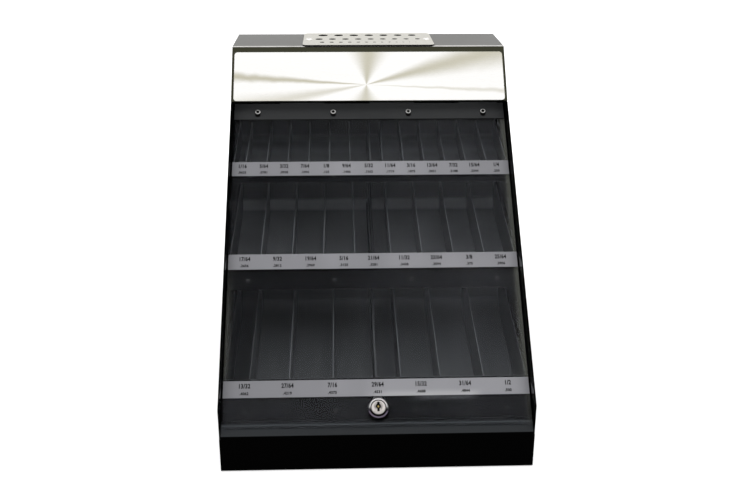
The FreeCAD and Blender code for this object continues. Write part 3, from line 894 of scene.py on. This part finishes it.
# blind rivets through the hinge leaf and the door, hollow where the pin broke off
hingeRivet = {
    "shaft": [(0, -6.7), (1.8, -6.7), (2.75, -6.2), (2.9, -5.4), (2.6, -4.25), (2.0, -4.25),
              (2.0, 0), (3.85, 0)],
    "head": [(3.9, 0.15), (3.6, 0.35), (3.35, 0.95), (3.1, 1.3), (2.75, 1.5), (2.3, 1.5),
             (2.15, 1.4), (2.0, 1.15), (1.95, 0.3), (0, 0.35)],
    # darkBands: the rivet's outer lower slope and its hollow, in painted shade
    "darkBands": (7, 8, 9, 14, 15, 16), "steps": 40,
}


def makeHingeRivets():
    look = hingeRivet
    profile = toMetres(look["shaft"] + look["head"])
    high = max(outward.dot(vertex.co) for vertex in nodes["hinge_rivets"].data.vertices)
    top = max(height for radius, height in look["head"]) * mm
    items = []
    for centre in looseCentres("hinge_rivets"):
        seat = centre + outward * (high - top - outward.dot(centre))
        shape = lathe(profile, look["steps"], dark=look["darkBands"])
        items.append((smoothMesh("rivet", shape), doorMatrix(seat)))
    rivets = addPiece("hinge_rivets_turned", gather("hinge_rivets_turned", items), "door",
                      "rivetAluminium oxide")
    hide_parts("hinge_rivets")


# round-headed screws that hold the gauge, with a cross recess; sizes in mm
# point: the share of the shank that its end has, and how long the taper is
# clear: how far up the cutter of the recess reaches
gaugeScrew = {"head": 4.6, "dome": 1.8, "tilts": (90, 80, 68, 56, 44, 32, 20, 9, 0),
              "headEdge": 0.05, "shank": 2.0, "point": (0.8, 0.4), "cross": 4.2,
              "crossWidth": 1.0, "crossDepth": 1.1, "clear": 5, "turns": (0.35, 1.0)}


def makeGaugeScrews():
    look = gaugeScrew
    head, dome, shank = look["head"], look["dome"], look["shank"]
    levels = [vertex.co.z for vertex in nodes["gauge_screws"].data.vertices]
    top, bottom = max(levels), min(levels)
    foot = -(top - bottom) / mm + dome
    narrow, taper = look["point"]
    angles = [math.radians(tilt) for tilt in look["tilts"]]
    rise = [(head * math.sin(angle), dome * math.cos(angle)) for angle in angles]
    profile = toMetres([(0, foot), (shank * narrow, foot), (shank, foot + taper), (shank, 0),
                        (head - look["headEdge"], 0)] + rise)
    reach, wide = look["cross"] / 2, look["crossWidth"] / 2
    floor, sky = dome - look["crossDepth"], look["clear"]
    items = []
    for centre, turn in zip(looseCentres("gauge_screws"), look["turns"]):
        screw = carve(smoothMesh("screw", lathe(profile)),
                      [block((-reach, -wide, floor), (reach, wide, sky)),
                       block((-wide, -reach, floor), (wide, reach, sky))])
        place = Vector((centre.x, centre.y, top - dome * mm))
        items.append((screw, Matrix.Translation(place) @ Matrix.Rotation(turn, 4, "Z")))
    screws = addPiece("gauge_screws_turned", gather("gauge_screws_turned", items), "case",
                      "screwSteel screwSteel")
    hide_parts("gauge_screws")


# cam lock: stepped bezel with a threaded barrel, and a plug with a keyhole; sizes in mm
camLock = {
    "bezel": [(9.5, 0), (12.1, 0), (12.25, 0.2), (12.25, 0.7), (12.05, 1.1), (10.75, 2.1),
              (10.55, 2.35), (10.45, 2.9), (10.2, 3.15), (9.95, 3.2), (9.7, 3.1), (9.0, 2.65),
              (8.45, 2.3), (8.35, 1.9), (8.25, 1.2), (6.1, 1.2)],
    "face": [(6.0, 1.3), (7.9, 1.3), (8.0, 1.5), (8.0, 2.4), (7.9, 2.62), (7.7, 2.7),
             (0, 2.7)],
    "bore": 6.1, "barrel": 9.4, "barrelFlat": 7.9, "barrelLength": 16.0,
    "thread": {"depth": 0.35, "pitch": 1.25, "lead": 0.6, "runOut": 1.5, "root": 0.5,
               "crest": 0.98},
    "tail": [(2.8, 0), (3.0, 0.3)], "stem": [(3.0, -16.3), (6.0, -16.3)],
    "keyhole": {"top": 6.6, "bottom": 4.6, "width": 2.7, "round": 2.9, "lift": 1.5, "cap": 1.6,
                "depth": 2.2, "clear": 4},
    "pin": {"radius": 1.15, "height": 1.5, "rounding": (0.25, 0.2)},
    # darkTurns and darkBands: the bezel's inner funnel and bore, and the ledge and side of the
    # plug's face, in painted shade
    "darkTurns": 6, "darkBands": (5, 6, 7), "steps": 72, "finerSteps": 32, "sharp": 0.5,
}


def darkRod(radius, up, low, high):
    # an upright rod that stands up the door from the axis, all in the second finish
    shape = lathe(toMetres([(0, low), (radius, low), (radius, high), (0, high)]),
                  camLock["finerSteps"], dark=(0, 1, 2))
    bmesh.ops.translate(shape, verts=shape.verts, vec=(0, up * mm, 0))
    return smoothMesh("rod", shape)


def makeLockBody(seat):
    look, thread = camLock, camLock["thread"]
    barrel, end, lead = look["barrel"], -look["barrelLength"], thread["lead"]
    points = [(look["bore"], end), (barrel - lead, end), (barrel, end + lead)]
    turns = int((look["barrelLength"] - thread["runOut"]) / thread["pitch"])
    for index in range(turns):
        start = end + lead + index * thread["pitch"]
        points += [(barrel - thread["depth"], start + thread["root"] * thread["pitch"]),
                   (barrel, start + thread["crest"] * thread["pitch"])]
    profile = toMetres(points + look["bezel"])
    profile.append(profile[0])
    inner = range(len(profile) - look["darkTurns"], len(profile))
    shape = lathe(profile, look["steps"], look["barrelFlat"] * mm, inner)
    mesh = smoothMesh("lock_body_turned", shape, look["sharp"])
    mesh.transform(seat)
    body = addPiece("lock_body_turned", mesh, "door", "lockChrome oxide")
    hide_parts("lock_body")


def makeLockPlug(seat):
    look, key = camLock, camLock["keyhole"]
    reached = [outward.dot(vertex.co) for vertex in nodes["lock_plug"].data.vertices]
    foot = (min(reached) - outward.dot(lockCentre)) / mm
    tail = [(radius, foot + height) for radius, height in look["tail"]]
    profile = toMetres([(0, foot)] + tail + look["stem"] + look["face"])
    floor, sky = look["face"][-1][1] - key["depth"], key["clear"]
    half, capCentre = key["width"] / 2, key["top"] - key["cap"]
    # the keyhole's walls take the cutters' dark finish, as painted shade
    cutters = [darkRod(key["round"], key["lift"], floor, sky),
               darkRod(key["cap"], capCentre, floor, sky),
               block((-half, -key["bottom"], floor), (half, capCentre, sky))]
    shape = lathe(profile, look["steps"], dark=look["darkBands"])
    mesh = carve(smoothMesh("lock_plug_turned", shape, look["sharp"]), cutters)
    mesh.transform(seat)
    plug = addPiece("lock_plug_turned", mesh, "lock", "satinNickel oxide")
    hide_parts("lock_plug")
    makeKeyPin(seat @ Matrix.Translation((0, key["lift"] * mm, 0)), floor)


def makeKeyPin(seat, floor):
    pin = camLock["pin"]
    radius, height = pin["radius"], pin["height"]
    inward, down = pin["rounding"]
    profile = toMetres([(radius, floor - down), (radius, height - down),
                        (radius - inward, height), (0, height)])
    mesh = smoothMesh("lock_key_pin", lathe(profile, camLock["finerSteps"]))
    mesh.transform(seat)
    addPiece("lock_key_pin", mesh, "lock", "wornBrass")


lockSeat = doorMatrix(lockCentre)
makeHingeRivets()
makeGaugeScrews()
makeLockBody(lockSeat)
makeLockPlug(lockSeat)
print("rivets, screws and lock turned")


# spot welds, painted over: a shallow ring pressed round a low button
# ring: points as shares of the radius and of the rim's height; front and rear: heights in mm
# above the foot of the tier's front or rear rail
spotWeld = {
    "radius": 2.6, "rim": 0.35, "ring": ((0.92, 0.7), (0.78, 1.0), (0.6, 0.6)),
    "button": {"radius": 0.5, "height": 0.18, "rise": 1.5}, "sunk": 0.05, "steps": 24,
    "sharp": 1.2, "across": (-0.153, -0.0475, 0.0475, 0.153), "wall": 1.0,
    "front": {"upper": 10.5, "middle": 13.5, "lower": 14.5},
    "rear": {"upper": (12, (-0.153, -0.0475, 0.0475)), "middle": (23, (-0.0475, 0.0475))},
}


def weldMesh():
    look, button = spotWeld, spotWeld["button"]
    profile = [(look["radius"], -look["sunk"])]
    profile += [(look["radius"] * out, look["rim"] * up) for out, up in look["ring"]]
    profile += [(look["radius"] * button["radius"], button["height"]),
                (0, button["height"] * button["rise"])]
    return smoothMesh("weld", lathe(toMetres(profile), look["steps"]), look["sharp"])


def makeWelds():
    look = spotWeld
    places = []
    for tier, height in look["front"].items():
        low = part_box(f"{tier}_rail_front")[0]
        places += [(x, low.y, low.z + height * mm) for x in look["across"]]
    for tier, (height, across) in look["rear"].items():
        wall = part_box(f"{tier}_tray_right")[1].y - look["wall"] * mm
        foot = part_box(f"{tier}_rail_rear")[0].z
        places += [(x, wall, foot + height * mm) for x in across]
    facing = Matrix.Rotation(math.radians(90), 4, "X")  # out of a wall, towards the front
    welds = gather("spot_welds", [(weldMesh(), Matrix.Translation(place) @ facing)
                                  for place in places])
    addPiece("spot_welds", welds, "case", "trayCoat")


makeWelds()
print("spot welds pressed")


# camera, at the height of someone who stands at the counter; angles in degrees
cameraSpot = {"place": (-0.040, -1.16845, 0.648), "yaw": 2.18, "pitch": 21.785, "roll": 0.21,
              "focal": 982.8, "imageWidth": 750, "sensor": 36.0, "nearest": 0.01}


def setCamera():
    spot = cameraSpot
    yaw, pitch, roll = (math.radians(spot[key]) for key in ("yaw", "pitch", "roll"))
    ahead = Vector((math.sin(yaw) * math.cos(pitch), math.cos(yaw) * math.cos(pitch),
                    -math.sin(pitch)))
    level = Vector((math.cos(yaw), -math.sin(yaw), 0))
    above = level.cross(ahead)
    right = level * math.cos(roll) + above * math.sin(roll)
    top = above * math.cos(roll) - level * math.sin(roll)
    camera = bpy.data.cameras.new("camera")
    camera.sensor_width = spot["sensor"]
    camera.lens = spot["focal"] / spot["imageWidth"] * spot["sensor"]
    camera.clip_start = spot["nearest"]
    holder = linked("camera", camera)
    turn = Matrix((right, top, -ahead)).transposed().to_4x4()
    holder.matrix_world = Matrix.Translation(spot["place"]) @ turn
    bpy.context.scene.camera = holder


# one wide softbox overhead, from well in front of the case to a little behind it
softbox = {"centre": (0, -0.75, 2.4), "width": 3.4, "depth": 2.9, "brightness": 1.8}


def setSoftbox():
    look = softbox
    lamp = bpy.data.lights.new("softbox", "AREA")
    lamp.shape = "RECTANGLE"
    lamp.size = look["width"]
    lamp.size_y = look["depth"]
    lamp.energy = look["brightness"] * math.pi * look["width"] * look["depth"]
    linked("softbox", lamp).location = look["centre"]


# a white room with a dark ceiling, as gloss and metal see it, and an even fill for the rest
room = {"ambient": 0.55, "ceiling": {"level": 0.12, "height": (0.4, 0.75)}}

# the floor glows where it is seen or mirrored, more so far from the case
paleFloor = {"colour": 0.8, "reach": 8.0, "drop": 0.0002,
             "glow": {"near": 0.52, "far": 0.45, "from": 0.35, "to": 1.6}}


def rayShare(f, *kinds):
    first = f.node("ShaderNodeLightPath", {}, {}, kinds[0])
    outputs = first.socket.node.outputs
    total = first
    for kind in kinds[1:]:
        total = total + Value(f, outputs[kind])
    return total.clamp()


def setRoom():
    world = bpy.data.worlds.new("studio")
    world.use_nodes = True
    bpy.context.scene.world = world
    f = Finish("studio", world.node_tree)
    height = f.parts(f.place("Generated"))[2]
    dark = height.between(*room["ceiling"]["height"]) * (1 - room["ceiling"]["level"])
    seen = rayShare(f, "Is Camera Ray")
    mirrored = rayShare(f, "Is Glossy Ray", "Is Transmission Ray")
    fill = (1 - (seen + mirrored).clamp()) * room["ambient"]
    light = f.node("ShaderNodeBackground", {}, {
        "Color": (1, 1, 1, 1), "Strength": seen + mirrored * (1 - dark) + fill})
    f.node("ShaderNodeOutputWorld", {}, {"Surface": light})


def layFloor():
    look, glow = paleFloor, paleFloor["glow"]
    f = Finish("paleFloor")
    shown = rayShare(f, "Is Camera Ray", "Is Glossy Ray", "Is Transmission Ray")
    x, y, _ = f.parts(f.place())
    level = glow["near"] + distance(x, y).between(glow["from"], glow["to"]) * glow["far"]
    bright = f.mix((shown * level).clamp(), grey(0.0), grey(1.0))
    matt = f.node("ShaderNodeBsdfDiffuse", {}, {"Color": grey(look["colour"])})
    shine = f.node("ShaderNodeEmission", {}, {"Color": bright, "Strength": 1.0})
    f.done(f.node("ShaderNodeAddShader", {}, {0: matt, 1: shine}))
    edge = look["reach"]
    mesh = bpy.data.meshes.new("floor")
    mesh.from_pydata([(-edge, -edge, 0), (edge, -edge, 0), (edge, edge, 0), (-edge, edge, 0)],
                     [], [(0, 1, 2, 3)])
    mesh.materials.append(f.material)
    floor = linked("floor", mesh)
    floor.location.z = -look["drop"]


setCamera()
setSoftbox()
setRoom()
layFloor()
bpy.context.scene.view_settings.view_transform = "Standard"
print("camera, softbox, room and floor set")
